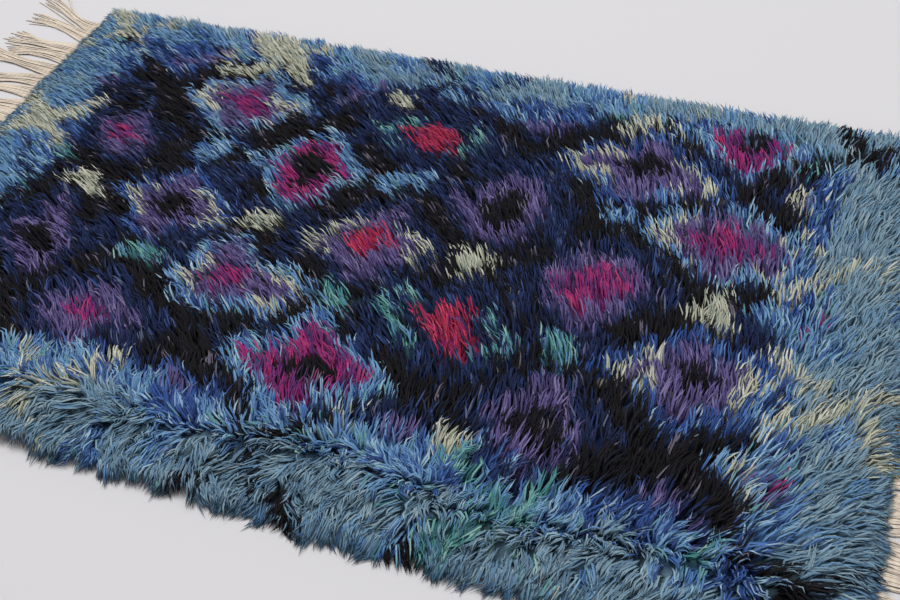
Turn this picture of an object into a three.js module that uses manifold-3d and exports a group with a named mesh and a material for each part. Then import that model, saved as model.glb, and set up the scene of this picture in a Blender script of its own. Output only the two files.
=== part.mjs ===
// A rya rug lying flat: long wool pile knotted into a woven ground, with the warp ends left as a
// fringe at both short ends. Millimetres, +Z up, +X along the long side, +Y across it.
// The origin is on the floor under the middle of the rug.
import * as THREE from "three";
import Module from "manifold-3d";
import { mergeVertices } from "three/addons/utils/BufferGeometryUtils.js";

const wasm = await Module();
wasm.setup();

// Driving dimensions of the pile
const PILE_LENGTH = 2000; // along X, over the tips of the locks
const PILE_WIDTH = 1280; // along Y, over the tips of the locks
const LOCK_REACH = 36; // the longest lock, out from the slab's wall
const PILE_HEIGHT = 31; // the lying pile, above the floor
const RIM_HEIGHT = 14; // the slab's upright wall
const ROLL_OFF = 95; // how far in from the wall the pile starts to fall away
const CORNER_RADIUS = 26;
const WOBBLE = 5; // how far the long sides stray from a straight line
const SWELL_HEIGHT = 2.6; // of the long swells in the lying pile
const TUFT_HEIGHT = 4.8; // of the lumps where tufts lean together or fall apart
const FIELD_STEP = 48; // between the points of the lumpy face

// Driving dimensions of the fringe
const PARTING_GAP = 0.3; // between a piece and its neighbour
const BAND_DEPTH = 14; // the woven edge band that holds the warp ends, along X
const BAND_THICKNESS = 3.5;
const FRINGE_LENGTH = 205; // a bunch of warp ends of middling length, beyond the band
const BUNCH_COUNT = 50; // at each end
const BUNCH_WIDTH = 7.5;
const BUNCH_HEIGHT = 5;

const HALF_LENGTH = PILE_LENGTH / 2 - LOCK_REACH; // to the slab's wall
const HALF_WIDTH = PILE_WIDTH / 2 - LOCK_REACH;

// Steps in from the wall, closer together where the pile rolls off.
const EDGE_STEPS = [0, 9, 22, 42, 68, ROLL_OFF];

// Partings where the pile falls open, running in from the front or back wall.
// side is -1 at the front and 1 at the back; at is along X; deep is how far the valley sinks.
const PARTINGS = [
  { side: -1, at: -690, long: 230, wide: 58, deep: 10 },
  { side: -1, at: -330, long: 250, wide: 54, deep: 11 },
  { side: -1, at: 60, long: 240, wide: 60, deep: 12 },
  { side: -1, at: 465, long: 260, wide: 58, deep: 10 },
  { side: -1, at: 800, long: 200, wide: 54, deep: 9 },
  { side: 1, at: -520, long: 160, wide: 56, deep: 7 },
  { side: 1, at: 40, long: 180, wide: 60, deep: 7 },
  { side: 1, at: 610, long: 160, wide: 56, deep: 7 },
];

// Swells of the lying pile: wave lengths along X and Y, where each starts and its share.
const SWELLS = [
  { alongX: 530, alongY: 690, start: 0.4, share: 0.5 },
  { alongX: 310, alongY: -1150, start: 2.1, share: 0.5 },
  { alongX: -1300, alongY: 270, start: 4.3, share: 0.5 },
];

// Locks of pile that stand out from the slab's wall, so many along each side.
// root and tip are heights of the lock's middle; the end locks pass over the fringe.
const LOCK_SIDES = [
  { name: "front", count: 46, root: 11, tip: 3.2 },
  { name: "back", count: 46, root: 11, tip: 3.2 },
  { name: "left", count: 28, root: 12.5, tip: 9.5 },
  { name: "right", count: 28, root: 12.5, tip: 9.5 },
];
const LOCK_WIDTH = 31;
const LOCK_THICKNESS = 9;
const LOCK_ROOT_DEPTH = 22; // inside the slab

// A number from 0 to 1 that looks random and is the same each time.
function uneven(index, kind) {
  const value = Math.sin(index * 12.9898 + kind * 78.233) * 43758.5453;
  return value - Math.floor(value);
}

// 0 outside the range, rising smoothly to 1.
function smooth(value, low, high) {
  const share = THREE.MathUtils.clamp((value - low) / (high - low), 0, 1);
  return share * share * (3 - 2 * share);
}

// How far the long side strays outwards at x: lobes of pile that swell between the partings.
function sideWobble(x, side) {
  const lobes = Math.sin(x / 83 + side) * 0.55 + Math.sin(x / 149 + 2 * side) * 0.45;
  const held = 1 - smooth(Math.abs(x), HALF_LENGTH - 140, HALF_LENGTH - 20);
  return WOBBLE * (lobes - 1) * 0.5 * held;
}

// How deep the partings sink at a point.
function partingDepth(x, y) {
  let depth = 0;
  for (const parting of PARTINGS) {
    const inwards = HALF_WIDTH - parting.side * y;
    const across = Math.abs(x - parting.at - 0.12 * inwards);
    const fade = 1 - smooth(inwards, parting.long * 0.35, parting.long);
    depth += parting.deep * fade * (1 - smooth(across, 0, parting.wide));
  }
  return depth;
}

// The height of the lying pile, from the distance to the nearest wall. tuft is from -1 to 1.
function pileTop(x, y, fromWall, tuft) {
  const share = Math.min(fromWall / ROLL_OFF, 1);
  const rolled = Math.sqrt(1 - (1 - share) ** 2);
  let swell = 0;
  for (const s of SWELLS) {
    swell += s.share * Math.sin((2 * Math.PI * x) / s.alongX + (2 * Math.PI * y) / s.alongY + s.start);
  }
  const lumps = (SWELL_HEIGHT * swell + TUFT_HEIGHT * tuft - partingDepth(x, y)) * rolled;
  return RIM_HEIGHT + (PILE_HEIGHT - RIM_HEIGHT) * rolled + lumps;
}

// Positions from wall to wall along one axis.
function stations(half) {
  const inner = half - ROLL_OFF;
  const steps = Math.round((2 * inner) / FIELD_STEP);
  const middle = [];
  for (let i = 1; i < steps; i += 1) {
    middle.push(-inner + (2 * inner * i) / steps);
  }
  const start = EDGE_STEPS.map((step) => step - half);
  const end = start.map((value) => -value).reverse();
  return [...start, ...middle, ...end];
}

// Rounds the corner of a rectangle: the square beyond the two tangent lines becomes a quarter disc.
function roundCorner(x, y, halfX, halfY) {
  const overX = Math.max(0, Math.abs(x) - (halfX - CORNER_RADIUS)) / CORNER_RADIUS;
  const overY = Math.max(0, Math.abs(y) - (halfY - CORNER_RADIUS)) / CORNER_RADIUS;
  const pullX = CORNER_RADIUS * overX * (1 - Math.sqrt(1 - (overY * overY) / 2));
  const pullY = CORNER_RADIUS * overY * (1 - Math.sqrt(1 - (overX * overX) / 2));
  return [x - Math.sign(x) * pullX, y - Math.sign(y) * pullY];
}

// A solid from a list of points and the triangles between them.
function solidFrom(points, triangles) {
  const geometry = new THREE.BufferGeometry();
  geometry.setAttribute("position", new THREE.Float32BufferAttribute(points.flat(), 3));
  geometry.setIndex(triangles.flat());
  const merged = mergeVertices(geometry, 1e-4);
  return new wasm.Manifold(
    new wasm.Mesh({
      numProp: 3,
      vertProperties: merged.attributes.position.array,
      triVerts: new Uint32Array(merged.index.array),
    }),
  );
}

function geometryOf(solid) {
  const mesh = solid.getMesh();
  const geometry = new THREE.BufferGeometry();
  geometry.setAttribute("position", new THREE.BufferAttribute(mesh.vertProperties, 3));
  geometry.setIndex(new THREE.BufferAttribute(mesh.triVerts, 1));
  geometry.computeVertexNormals();
  return geometry;
}

// The slab: a lumpy top face on a grid, an upright wall and a flat underside.
function pileSlab() {
  const xs = stations(HALF_LENGTH);
  const ys = stations(HALF_WIDTH);
  const points = [];
  const topIndex = (column, row) => column * ys.length + row;
  for (const x of xs) {
    for (const y of ys) {
      const fromWall = Math.min(HALF_LENGTH - Math.abs(x), HALF_WIDTH - Math.abs(y));
      const shift = Math.sign(y) * sideWobble(x, Math.sign(y)) * (Math.abs(y) / HALF_WIDTH) ** 4;
      const [roundX, roundY] = roundCorner(x, y, HALF_LENGTH, HALF_WIDTH);
      const tuft = 2 * uneven(points.length, 11) - 1;
      points.push([roundX, roundY + shift, pileTop(x, y, fromWall, tuft)]);
    }
  }
  const triangles = [];
  for (let column = 0; column < xs.length - 1; column += 1) {
    for (let row = 0; row < ys.length - 1; row += 1) {
      const a = topIndex(column, row);
      const b = topIndex(column + 1, row);
      const c = topIndex(column + 1, row + 1);
      const d = topIndex(column, row + 1);
      triangles.push([a, b, c], [a, c, d]);
    }
  }

  // The outline, anticlockwise from the middle of the front side.
  const lastX = xs.length - 1;
  const lastY = ys.length - 1;
  const outline = [];
  for (let i = 0; i < lastX; i += 1) outline.push(topIndex(i, 0));
  for (let i = 0; i < lastY; i += 1) outline.push(topIndex(lastX, i));
  for (let i = lastX; i > 0; i -= 1) outline.push(topIndex(i, lastY));
  for (let i = lastY; i > 0; i -= 1) outline.push(topIndex(0, i));
  const foot = outline.map((index) => {
    points.push([points[index][0], points[index][1], 0]);
    return points.length - 1;
  });
  outline.forEach((top, i) => {
    const next = (i + 1) % outline.length;
    triangles.push([top, foot[i], foot[next]], [top, foot[next], outline[next]]);
  });

  // Underside: one rectangle in the middle, and a fan from each of its corners to the outline.
  const middle = [
    [-0.8, -0.75],
    [0.8, -0.75],
    [0.8, 0.75],
    [-0.8, 0.75],
  ].map(([shareX, shareY]) => {
    points.push([shareX * HALF_LENGTH, shareY * HALF_WIDTH, 0]);
    return points.length - 1;
  });
  triangles.push([middle[0], middle[2], middle[1]], [middle[0], middle[3], middle[2]]);
  const turns = [0, lastX, lastX + lastY, 2 * lastX + lastY];
  const sides = [lastX, lastY, lastX, lastY];
  const halfway = turns.map((turn, i) => turn + Math.floor(sides[i] / 2));
  middle.forEach((corner, i) => {
    const before = (i + 3) % 4;
    const from = halfway[before];
    const to = halfway[i] + (halfway[i] < from ? outline.length : 0);
    for (let k = from; k < to; k += 1) {
      triangles.push([corner, foot[(k + 1) % outline.length], foot[k % outline.length]]);
    }
    triangles.push([corner, middle[(i + 1) % 4], foot[halfway[i]]]);
  });
  return solidFrom(points, triangles);
}

// A tapering lock of four sides through its rings, each { at, wide, thick }, to a point.
// across is the direction of its width.
function lock(rings, tip, across) {
  const points = [];
  for (const ring of rings) {
    points.push(ring.at.clone().addScaledVector(across, -ring.wide / 2).toArray());
    points.push([ring.at.x, ring.at.y, ring.at.z - ring.thick / 2]);
    points.push(ring.at.clone().addScaledVector(across, ring.wide / 2).toArray());
    points.push([ring.at.x, ring.at.y, ring.at.z + ring.thick / 2]);
  }
  points.push(tip.toArray());
  const triangles = [
    [0, 2, 1],
    [0, 3, 2],
  ];
  for (let ring = 0; ring < rings.length - 1; ring += 1) {
    for (let side = 0; side < 4; side += 1) {
      const a = ring * 4 + side;
      const b = ring * 4 + ((side + 1) % 4);
      triangles.push([a, b, b + 4], [a, b + 4, a + 4]);
    }
  }
  const last = (rings.length - 1) * 4;
  for (let side = 0; side < 4; side += 1) {
    triangles.push([last + side, last + ((side + 1) % 4), points.length - 1]);
  }
  return solidFrom(points, triangles);
}

// The locks along the four sides of the slab.
function rimLocks() {
  const locks = [];
  LOCK_SIDES.forEach((side, sideIndex) => {
    const alongX = side.name === "front" || side.name === "back";
    const outwards = side.name === "front" || side.name === "left" ? -1 : 1;
    const halfRun = (alongX ? HALF_LENGTH : HALF_WIDTH) - 30;
    const wall = alongX ? HALF_WIDTH : HALF_LENGTH;
    for (let i = 0; i < side.count; i += 1) {
      const seed = sideIndex * 100 + i;
      const along = -halfRun + (2 * halfRun * (i + 0.5)) / side.count;
      const reach = LOCK_REACH * (0.55 + 0.45 * uneven(seed, 1));
      const sway = (uneven(seed, 2) - 0.5) * 16;
      const place = (runShift, out, height) => {
        const run = along + runShift;
        const stray = alongX ? sideWobble(run, outwards) : 0;
        const from = outwards * (wall + stray + out);
        return alongX ? new THREE.Vector3(run, from, height) : new THREE.Vector3(from, run, height);
      };
      const across = alongX ? new THREE.Vector3(-outwards, 0, 0) : new THREE.Vector3(0, outwards, 0);
      const wide = LOCK_WIDTH * (0.85 + 0.3 * uneven(seed, 3));
      const bendHeight = side.tip + (side.root - side.tip) * 0.6;
      const rings = [
        { at: place(0, -LOCK_ROOT_DEPTH, side.root + 1), wide, thick: LOCK_THICKNESS },
        { at: place(sway * 0.5, reach * 0.5, bendHeight), wide: wide * 0.72, thick: LOCK_THICKNESS * 0.66 },
      ];
      locks.push(lock(rings, place(sway, reach, side.tip - 1), across));
    }
  });
  return locks;
}

// One bunch of warp ends, lying level on the floor: four sides, a flat foot and a blunt end.
function warpBunch(end, index, yRoot) {
  const long = FRINGE_LENGTH * (0.9 + 0.2 * uneven(index, 4 + end));
  const lean = (uneven(index, 7 + end) - 0.5) * 10;
  const bend = (uneven(index, 9 + end) - 0.5) * 7;
  const rootX = HALF_LENGTH + PARTING_GAP + BAND_DEPTH - 6;
  const stationsAlong = [
    { share: 0, wide: BUNCH_WIDTH, high: BAND_THICKNESS - 0.6 },
    { share: 0.3, wide: BUNCH_WIDTH * 0.85, high: BUNCH_HEIGHT },
    { share: 0.8, wide: BUNCH_WIDTH * 1.15, high: BUNCH_HEIGHT * 0.85 },
    { share: 1, wide: BUNCH_WIDTH * 0.7, high: BUNCH_HEIGHT * 0.4 },
  ];
  const points = [];
  for (const s of stationsAlong) {
    const x = end * (rootX + s.share * (long + 6));
    const y = yRoot + lean * s.share + bend * Math.sin(Math.PI * s.share);
    const foot = (end * s.wide) / 2;
    const crown = foot * 0.55;
    points.push([x, y - foot, 0], [x, y + foot, 0], [x, y + crown, s.high], [x, y - crown, s.high]);
  }
  const triangles = [
    [0, 2, 1],
    [0, 3, 2],
  ];
  for (let ring = 0; ring < stationsAlong.length - 1; ring += 1) {
    for (let side = 0; side < 4; side += 1) {
      const a = ring * 4 + side;
      const b = ring * 4 + ((side + 1) % 4);
      triangles.push([a, b, b + 4], [a, b + 4, a + 4]);
    }
  }
  const last = points.length - 4;
  triangles.push([last, last + 1, last + 2], [last, last + 2, last + 3]);
  return solidFrom(points, triangles);
}

// The woven edge band at one end with its bunches of warp ends.
function fringe(end) {
  const bandHalf = HALF_WIDTH - CORNER_RADIUS * 0.5;
  const box = new THREE.BoxGeometry(BAND_DEPTH, 2 * bandHalf, BAND_THICKNESS);
  const bandX = HALF_LENGTH + PARTING_GAP + BAND_DEPTH / 2;
  box.translate(end * bandX, 0, BAND_THICKNESS / 2);
  box.deleteAttribute("normal");
  box.deleteAttribute("uv");
  const band = mergeVertices(box, 1e-4);
  const pieces = [
    new wasm.Manifold(
      new wasm.Mesh({
        numProp: 3,
        vertProperties: band.attributes.position.array,
        triVerts: new Uint32Array(band.index.array),
      }),
    ),
  ];
  const pitch = (2 * bandHalf - BUNCH_WIDTH * 2) / (BUNCH_COUNT - 1);
  for (let i = 0; i < BUNCH_COUNT; i += 1) {
    const yRoot = -bandHalf + BUNCH_WIDTH + pitch * i;
    pieces.push(warpBunch(end, i, yRoot));
  }
  return wasm.Manifold.union(pieces);
}

const pileWool = new THREE.MeshStandardMaterial({ color: 0x3f5a86, roughness: 0.95, metalness: 0 });
const warpYarn = new THREE.MeshStandardMaterial({ color: 0xc9bda8, roughness: 0.9, metalness: 0 });

const rug = new THREE.Group();
rug.name = "rya_rug";

const pile = new THREE.Mesh(geometryOf(wasm.Manifold.union([pileSlab(), ...rimLocks()])), pileWool);
pile.name = "pile_slab";
rug.add(pile);

for (const [name, end] of [
  ["fringe_left", -1],
  ["fringe_right", 1],
]) {
  const mesh = new THREE.Mesh(geometryOf(fringe(end)), warpYarn);
  mesh.name = name;
  rug.add(mesh);
}

export default rug;
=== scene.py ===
import math

import bpy
import numpy as np
from mathutils import Matrix, Vector
from mathutils.bvhtree import BVHTree


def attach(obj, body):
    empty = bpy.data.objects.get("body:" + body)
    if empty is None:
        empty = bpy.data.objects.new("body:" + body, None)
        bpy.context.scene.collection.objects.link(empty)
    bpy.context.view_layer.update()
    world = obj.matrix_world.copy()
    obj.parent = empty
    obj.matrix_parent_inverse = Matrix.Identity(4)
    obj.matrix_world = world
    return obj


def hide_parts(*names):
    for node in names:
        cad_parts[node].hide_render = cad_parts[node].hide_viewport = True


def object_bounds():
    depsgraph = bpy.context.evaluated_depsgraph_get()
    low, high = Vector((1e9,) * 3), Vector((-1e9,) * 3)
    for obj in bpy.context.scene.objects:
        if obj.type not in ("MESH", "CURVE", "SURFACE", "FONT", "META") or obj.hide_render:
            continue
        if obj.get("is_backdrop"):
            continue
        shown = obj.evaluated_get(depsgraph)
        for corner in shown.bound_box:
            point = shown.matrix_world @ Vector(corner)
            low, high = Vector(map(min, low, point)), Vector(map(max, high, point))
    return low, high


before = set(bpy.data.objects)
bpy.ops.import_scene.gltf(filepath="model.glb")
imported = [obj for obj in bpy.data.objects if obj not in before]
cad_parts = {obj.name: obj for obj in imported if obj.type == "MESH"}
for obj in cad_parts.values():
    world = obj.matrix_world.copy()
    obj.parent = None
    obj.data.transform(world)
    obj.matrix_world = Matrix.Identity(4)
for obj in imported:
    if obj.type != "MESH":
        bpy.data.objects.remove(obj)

# A rya rug on a pale floor: a woven ground, long wool pile knotted into it, and the warp ends
# left as a fringe at both short ends. Metres, +X along the long side, +Z up.
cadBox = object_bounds()
print("frame loaded")


# sRGB hex to linear: c / 12.92 below 0.04045, otherwise ((c + 0.055) / 1.055) to the power 2.4
def linearColour(code):
    parts = [int(code[i:i + 2], 16) / 255 for i in (1, 3, 5)]
    return [c / 12.92 if c <= 0.04045 else ((c + 0.055) / 1.055) ** 2.4 for c in parts]


# 0 up to low, 1 from high, and 3 s^2 - 2 s^3 between them
def smooth(value, low, high):
    share = np.clip((value - low) / (high - low), 0, 1)
    return share * share * (3 - 2 * share)


noiseLattice = (97, 89)       # points each way, before the noise repeats
noiseMiddle = 40.5            # where the rug's middle falls on it


# A table's value past its point (i, j): the four round it, weighted by nearness
def between(table, i, j, a, b):
    corner = lambda di, dj: table[(i + di) % table.shape[0], (j + dj) % table.shape[1]]
    return ((corner(0, 0) * (1 - a) + corner(1, 0) * a) * (1 - b)
            + (corner(0, 1) * (1 - a) + corner(1, 1) * a) * b)


# Smooth noise from -1 to 1: random heights on a lattice of that size, joined by smooth steps
def patchNoise(x, y, size, seed):
    table = np.random.default_rng(seed).uniform(-1, 1, noiseLattice)
    u, v = x / size + noiseMiddle, y / size + noiseMiddle
    column, row = np.floor(u).astype(int), np.floor(v).astype(int)
    return between(table, column, row, smooth(u - column, 0, 1), smooth(v - row, 0, 1))


# A mesh object from points (n, 3) and a list of face arrays, each (faces, corners)
def meshObject(name, points, faceSets, isSmooth=True):
    mesh = bpy.data.meshes.new(name)
    mesh.vertices.add(len(points))
    mesh.vertices.foreach_set("co", np.asarray(points, np.float32).ravel())
    corners = np.concatenate([f.ravel() for f in faceSets]).astype(np.int32)
    sizes = np.concatenate([np.full(len(f), f.shape[1]) for f in faceSets])
    starts = np.concatenate([[0], np.cumsum(sizes)[:-1]]).astype(np.int32)
    mesh.loops.add(len(corners))
    mesh.loops.foreach_set("vertex_index", corners)
    mesh.polygons.add(len(sizes))
    mesh.polygons.foreach_set("loop_start", starts)
    mesh.polygons.foreach_set("use_smooth", np.full(len(sizes), isSmooth))
    mesh.update(calc_edges=True)
    piece = bpy.data.objects.new(name, mesh)
    bpy.context.scene.collection.objects.link(piece)
    return piece


# A level grid over the rug: x and y, its faces, and the points round its rim in order
def makeGrid(s):
    x, y = np.meshgrid(np.linspace(-1, 1, s["stepsX"]) * s["halfLength"],
                       np.linspace(-1, 1, s["stepsY"]) * s["halfWidth"], indexing="ij")
    index = np.arange(x.size).reshape(x.shape)
    quads = np.stack([index[:-1, :-1], index[1:, :-1], index[1:, 1:], index[:-1, 1:]], 2)
    rim = np.concatenate([index[:-1, 0], index[-1, :-1], index[:0:-1, -1], index[0, :0:-1]])
    return x, y, quads.reshape(-1, 4), rim


sides = 3                     # of each yarn and cord


# Corners of the rings round each middle line: the middle plus radius times (cos a * side - sin a
# * top), where side is level and square to the line's heading, and top is square to both
def ringsRound(points, radius):
    along = np.gradient(points, axis=1)
    along /= np.maximum(np.linalg.norm(along, axis=2, keepdims=True), 1e-9)
    side = np.stack([-along[:, :, 1], along[:, :, 0], np.zeros_like(along[:, :, 0])], 2)
    side /= np.maximum(np.linalg.norm(side, axis=2, keepdims=True), 1e-9)
    top = np.cross(along, side)
    angles = np.radians(90 + np.arange(sides) * 360 / sides)
    ring = (np.cos(angles)[None, None, :, None] * side[:, :, None, :]
            - np.sin(angles)[None, None, :, None] * top[:, :, None, :])
    return points[:, :, None, :] + radius[:, :, None, None] * ring


# Quads between the rings of one tube, and each corner's place on it: round it, and along it
def tubeQuads(rings):
    quads, places = [], []
    for k in range(rings - 1):
        for c in range(sides):
            d = (c + 1) % sides
            quads.append([k * sides + c, k * sides + d, (k + 1) * sides + d, (k + 1) * sides + c])
            places += [(c, k), (c + 1, k), (c + 1, k + 1), (c, k + 1)]
    return quads, places


# The faces of one tube on each of them, whose points follow each other
def onEach(faces, total, pointsEach):
    start = (np.arange(total) * pointsEach)[:, None, None]
    return (np.array(faces)[None] + start).reshape(-1, len(faces[0]))


# Places (yarns, corners) on many yarns, as turns round each and centimetres along it
def inCentimetres(turn, along):
    return np.stack([np.broadcast_to(turn / sides, along.shape), along * 100], 2).reshape(-1, 2)


# One UV map from the corners' places (corners, 2)
def addMap(piece, name, places):
    layer = piece.data.uv_layers.new(name=name, do_init=False)
    layer.uv.foreach_set("vector", np.asarray(places, np.float32).ravel())


# One colour for each vertex (n, 3), linear
def addColours(piece, colours):
    layer = piece.data.color_attributes.new("yarnColour", "FLOAT_COLOR", "POINT")
    full = np.ones((len(colours), 4), np.float32)
    full[:, :3] = colours
    layer.data.foreach_set("color", full.ravel())


# Sets a node's sockets, and links those that come as (node, output name). A socket goes by its
# name, with _ for a space, or by i and its number
def setSockets(tree, node, **inputs):
    for key, value in inputs.items():
        socket = node.inputs[int(key[1:]) if key[1:].isdigit() else key.replace("_", " ")]
        if isinstance(value, tuple) and hasattr(value[0], "outputs"):
            tree.links.new(value[0].outputs[value[1]], socket)
        else:
            socket.default_value = value


# Adds a node with its settings and its sockets
def addNode(tree, kind, settings=None, **inputs):
    node = tree.nodes.new(kind)
    for key, value in (settings or {}).items():
        setattr(node, key, value)
    setSockets(tree, node, **inputs)
    return node


def newMaterial(name):
    material = bpy.data.materials.new(name)
    material.use_nodes = True
    return material, material.node_tree, material.node_tree.nodes["Principled BSDF"]


# The camera of the photograph, worked out from the rug's edges
cameraSettings = {
    "place": (0.858, -1.597, 1.645),
    "forward": (-0.29319, 0.65166, -0.69955),
    "rollDegrees": 4.88,
    "lens": 50.66,
    "sensorWidth": 36,
    "clip": (0.05, 60),
}


# Right is forward x up turned by the roll about the view direction, and up is square to both
def makeCamera(s):
    forward = Vector(s["forward"]).normalized()
    level = forward.cross(Vector((0, 0, 1))).normalized()
    down = forward.cross(level)
    roll = math.radians(s["rollDegrees"])
    right = level * math.cos(roll) + down * math.sin(roll)
    up = level * math.sin(roll) - down * math.cos(roll)
    data = bpy.data.cameras.new("camera")
    data.lens, data.sensor_width = s["lens"], s["sensorWidth"]
    data.clip_start, data.clip_end = s["clip"]
    camera = bpy.data.objects.new("camera", data)
    turn = Matrix((right, up, -forward)).transposed().to_4x4()
    camera.matrix_world = Matrix.Translation(s["place"]) @ turn
    bpy.context.scene.collection.objects.link(camera)
    bpy.context.scene.camera = camera


# A pale painted floor, and soft light from two large lamps overhead and from the room
roomSettings = {
    "floorColour": "#cfcdce",
    "floorSize": 40.0,
    "skyColour": "#eeeff3",
    "skyStrength": 0.50,
    "lampPlace": (-1.5, 1.3, 7.2),
    "lampAim": (0.0, 0.0, 0.0),
    "lampSize": 4.8,
    "lampPower": 386.0,
    "fillPlace": (3.6, 0.6, 5.8),
    "fillSize": 3.6,
    "fillPower": 80.0,
}


def makeRoom(s):
    half = s["floorSize"] / 2
    corners = np.array([[-half, -half, 0], [half, -half, 0], [half, half, 0], [-half, half, 0]])
    floor = meshObject("floor", corners, [np.array([[0, 1, 2, 3]])], False)
    floor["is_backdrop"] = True
    # Matt emulsion: an even pale face with no gloss
    paint, tree, shader = newMaterial("mattFloorPaint")
    setSockets(tree, shader, Base_Color=linearColour(s["floorColour"]) + [1],
               Roughness=0.95, Specular_IOR_Level=0.1)
    floor.data.materials.append(paint)
    for name in ("lamp", "fill"):
        light = bpy.data.lights.new(name, "AREA")
        light.shape, light.size = "SQUARE", s[name + "Size"]
        light.energy = s[name + "Power"]
        holder = bpy.data.objects.new(name, light)
        place = Vector(s[name + "Place"])
        turn = (Vector(s["lampAim"]) - place).to_track_quat("-Z", "Y")
        holder.matrix_world = Matrix.Translation(place) @ turn.to_matrix().to_4x4()
        bpy.context.scene.collection.objects.link(holder)
    world = bpy.data.worlds.new("room")
    world.use_nodes = True
    setSockets(world.node_tree, world.node_tree.nodes["Background"],
               Color=linearColour(s["skyColour"]) + [1], Strength=s["skyStrength"])
    bpy.context.scene.world = world
    bpy.context.scene.view_settings.view_transform = "Standard"


makeCamera(cameraSettings)
makeRoom(roomSettings)
print("camera and room made")


# The ground that the pile stands on, read off the frame's slab
groundSettings = {
    "halfLength": 0.964,      # to the slab's upright wall
    "halfWidth": 0.604,
    "sampleStep": 0.012,
    "sampleInset": (0.003, 0.010),    # the samples end this far inside the wall
    "sampleAbove": 0.2,       # the rays start at this height
    "level": 0.02,            # the height where a ray meets nothing
    "underPile": 0.0095,      # the bed lies this far below the face of the lying pile
    "least": 0.0045,
    "fallOff": 0.022,         # how soon the bed drops to the floor past the wall
}


# Heights of the slab's top on a grid, by rays cast straight down
def sampleSlab(s):
    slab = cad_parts["pile_slab"].data
    tree = BVHTree.FromPolygons([v.co for v in slab.vertices], [p.vertices for p in slab.polygons])
    reachX = s["halfLength"] - s["sampleInset"][0]
    reachY = s["halfWidth"] - s["sampleInset"][1]
    xs = np.linspace(-reachX, reachX, round(2 * reachX / s["sampleStep"]))
    ys = np.linspace(-reachY, reachY, round(2 * reachY / s["sampleStep"]))
    down = Vector((0, 0, -1))
    heights = np.full((len(xs), len(ys)), s["level"])
    for i, x in enumerate(xs):
        for j, y in enumerate(ys):
            hit = tree.ray_cast(Vector((x, y, s["sampleAbove"])), down)[0]
            if hit is not None:
                heights[i, j] = hit.z
    return xs, ys, heights


slabXs, slabYs, slabHeights = sampleSlab(groundSettings)


# Height of the slab's face, between its samples
def slabTop(x, y):
    u = np.clip((x - slabXs[0]) / (slabXs[1] - slabXs[0]), 0, len(slabXs) - 1.001)
    v = np.clip((y - slabYs[0]) / (slabYs[1] - slabYs[0]), 0, len(slabYs) - 1.001)
    i, j = u.astype(int), v.astype(int)
    return between(slabHeights, i, j, u - i, v - j)


# Distance out past the slab's wall, 0 inside
def pastWall(x, y):
    outX = np.maximum(np.abs(x) - groundSettings["halfLength"], 0)
    outY = np.maximum(np.abs(y) - groundSettings["halfWidth"], 0)
    return np.hypot(outX, outY)


# The bed's height: the slab's face less a constant, falling to the floor past the wall
def bedHeight(x, y):
    inside = np.maximum(slabTop(x, y) - groundSettings["underPile"], groundSettings["least"])
    return inside * (1 - smooth(pastWall(x, y), 0, groundSettings["fallOff"]))


# The yarns, by the family that a weaver would have on hand: sRGB, and how often each is drawn
yarnFamilies = {
    "black": [("#121114", 6), ("#171519", 3.5), ("#1d191d", 1.5), ("#171b28", 1), ("#2f2a31", 0.3),
              ("#625c6c", 0.42)],
    "navy": [("#172140", 4), ("#1b284c", 4), ("#21315c", 2.7), ("#12141d", 2.8), ("#33497a", 0.7),
             ("#565d76", 0.3)],
    "royal": [("#264078", 4), ("#304f8e", 4), ("#486da5", 2.2), ("#1c2b53", 2.8), ("#86a3be", 0.9)],
    "light": [("#5680ab", 4), ("#6b94ba", 4), ("#3e639d", 3), ("#8fb0c3", 1.8), ("#5b8b93", 1.2),
              ("#2d4479", 1.5)],
    "pale": [("#728fa0", 5), ("#68869b", 4), ("#7d98a7", 3.2), ("#58758e", 2.6), ("#5f86a5", 1.8),
             ("#8da1a9", 0.9)],
    "sky": [("#6089ae", 5), ("#507ca9", 4), ("#749cb8", 3), ("#446a9a", 2), ("#688fa6", 2)],
    "purple": [("#514775", 4), ("#605586", 4), ("#413862", 2.5), ("#746a96", 1.5), ("#29253d", 1)],
    "magenta": [("#7f2266", 4), ("#98276a", 3), ("#5f2c6a", 3), ("#aa3266", 1.2), ("#472752", 1.2)],
    "crimson": [("#a8264c", 4), ("#912142", 3), ("#bd3a5a", 2), ("#6f1c3d", 1.2), ("#7f2266", 0.8)],
    "cream": [("#b0b09c", 4), ("#a0a494", 3), ("#c3c3b2", 2), ("#8b9387", 1.5)],
    "teal": [("#427f80", 3), ("#659c96", 2.5), ("#345f6a", 2), ("#82aca5", 1), ("#5582a2", 3)],
}
family = {name: i for i, name in enumerate(yarnFamilies)}
mostYarns = max(len(yarns) for yarns in yarnFamilies.values())
yarnColours = np.zeros((len(family), mostYarns, 3))
yarnShares = np.zeros((len(family), mostYarns))
for i, yarns in enumerate(yarnFamilies.values()):
    for j, (code, often) in enumerate(yarns):
        yarnColours[i, j] = linearColour(code)
        yarnShares[i, j] = often
yarnShares = np.cumsum(yarnShares / yarnShares.sum(1, keepdims=True), 1)

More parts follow.
